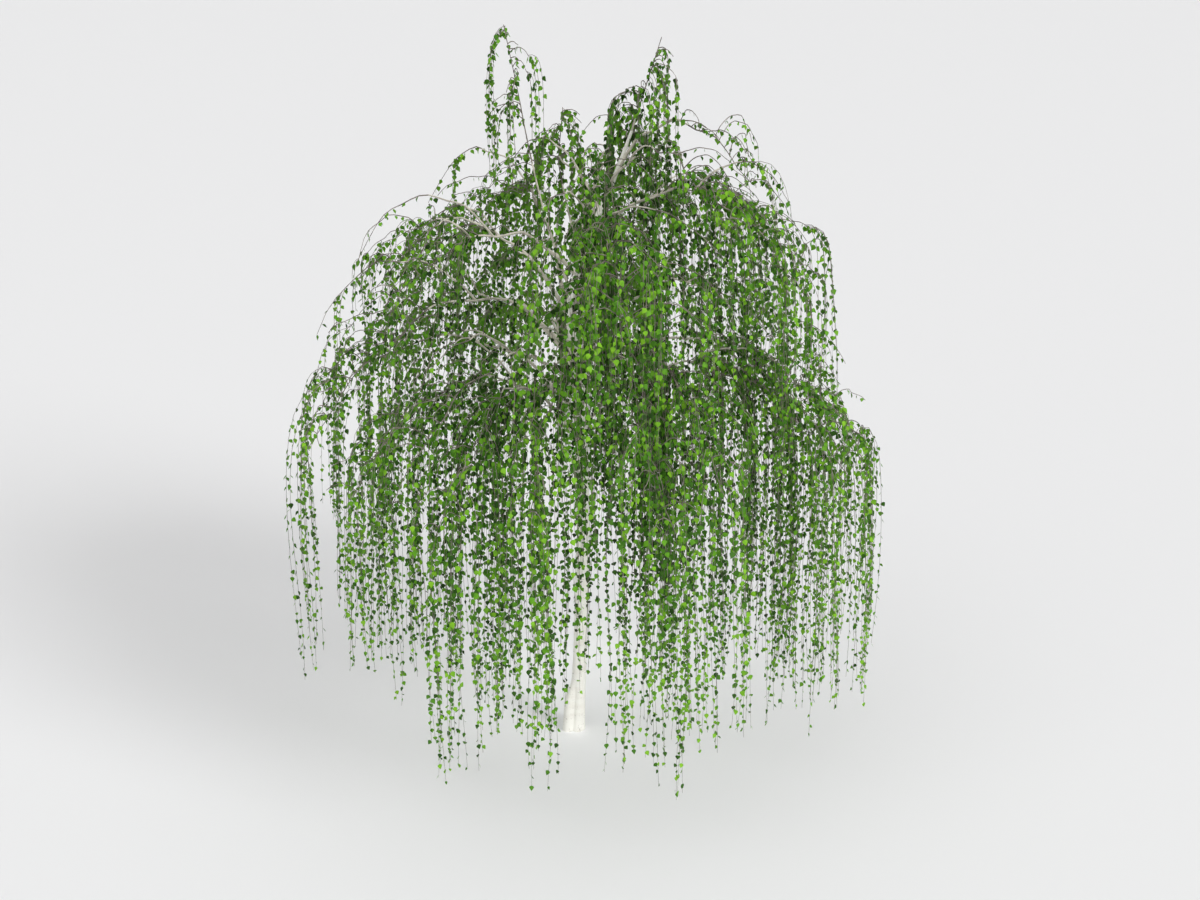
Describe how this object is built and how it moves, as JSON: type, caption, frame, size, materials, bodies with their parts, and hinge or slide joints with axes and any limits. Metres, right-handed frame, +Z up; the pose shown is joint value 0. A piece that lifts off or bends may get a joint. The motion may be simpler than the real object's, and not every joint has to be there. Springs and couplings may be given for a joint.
{
  "type": "weeping birch tree",
  "caption": "Whole weeping birch tree: a slender white trunk, arching boughs, and long hanging shoots of small leaves that fall in curtains almost to the ground",
  "frame": {"origin": "centre of the flat cut under the trunk, at ground level", "axes": "+Z up along the trunk, -Y towards the side seen in front, +X to that side's right"},
  "size_m": [4.9554, 4.867, 6.0419],
  "materials": {
    "white_bark": "matt pale birch bark",
    "bough_bark": "matt grey-brown bark",
    "leaves": "satin green leaves"
  },
  "bodies": {
    "root": {"bough_crown_01": "bough_bark", "bough_crown_02": "bough_bark", "bough_crown_03": "bough_bark", "bough_crown_04": "bough_bark", "bough_crown_05": "bough_bark", "bough_high_01": "bough_bark", "bough_high_02": "bough_bark", "bough_high_03": "bough_bark", "bough_high_04": "bough_bark", "bough_high_05": "bough_bark", "bough_high_06": "bough_bark", "bough_high_07": "bough_bark", "bough_low_01": "bough_bark", "bough_low_02": "bough_bark", "bough_low_03": "bough_bark", "bough_low_04": "bough_bark", "bough_low_05": "bough_bark", "bough_low_06": "bough_bark", "bough_low_07": "bough_bark", "bough_low_08": "bough_bark", "bough_low_09": "bough_bark", "bough_low_10": "bough_bark", "bough_low_11": "bough_bark", "bough_low_12": "bough_bark", "bough_low_13": "bough_bark", "bough_low_14": "bough_bark", "curtain_crown_01": "leaves", "curtain_crown_02": "leaves", "curtain_crown_03": "leaves", "curtain_crown_04": "leaves", "curtain_crown_05": "leaves", "curtain_high_01": "leaves", "curtain_high_02": "leaves", "curtain_high_03": "leaves", "curtain_high_04": "leaves", "curtain_high_05": "leaves", "curtain_high_06": "leaves", "curtain_high_07": "leaves", "curtain_low_01": "leaves", "curtain_low_02": "leaves", "curtain_low_03": "leaves", "curtain_low_04": "leaves", "curtain_low_05": "leaves", "curtain_low_06": "leaves", "curtain_low_07": "leaves", "curtain_low_08": "leaves", "curtain_low_09": "leaves", "curtain_low_10": "leaves", "curtain_low_11": "leaves", "curtain_low_12": "leaves", "curtain_low_13": "leaves", "curtain_low_14": "leaves", "leader_left": "bough_bark", "leader_middle": "bough_bark", "plume_left": "leaves", "plume_middle": "leaves", "plume_right": "leaves", "trunk": "white_bark"}
  },
  "joints": []
}
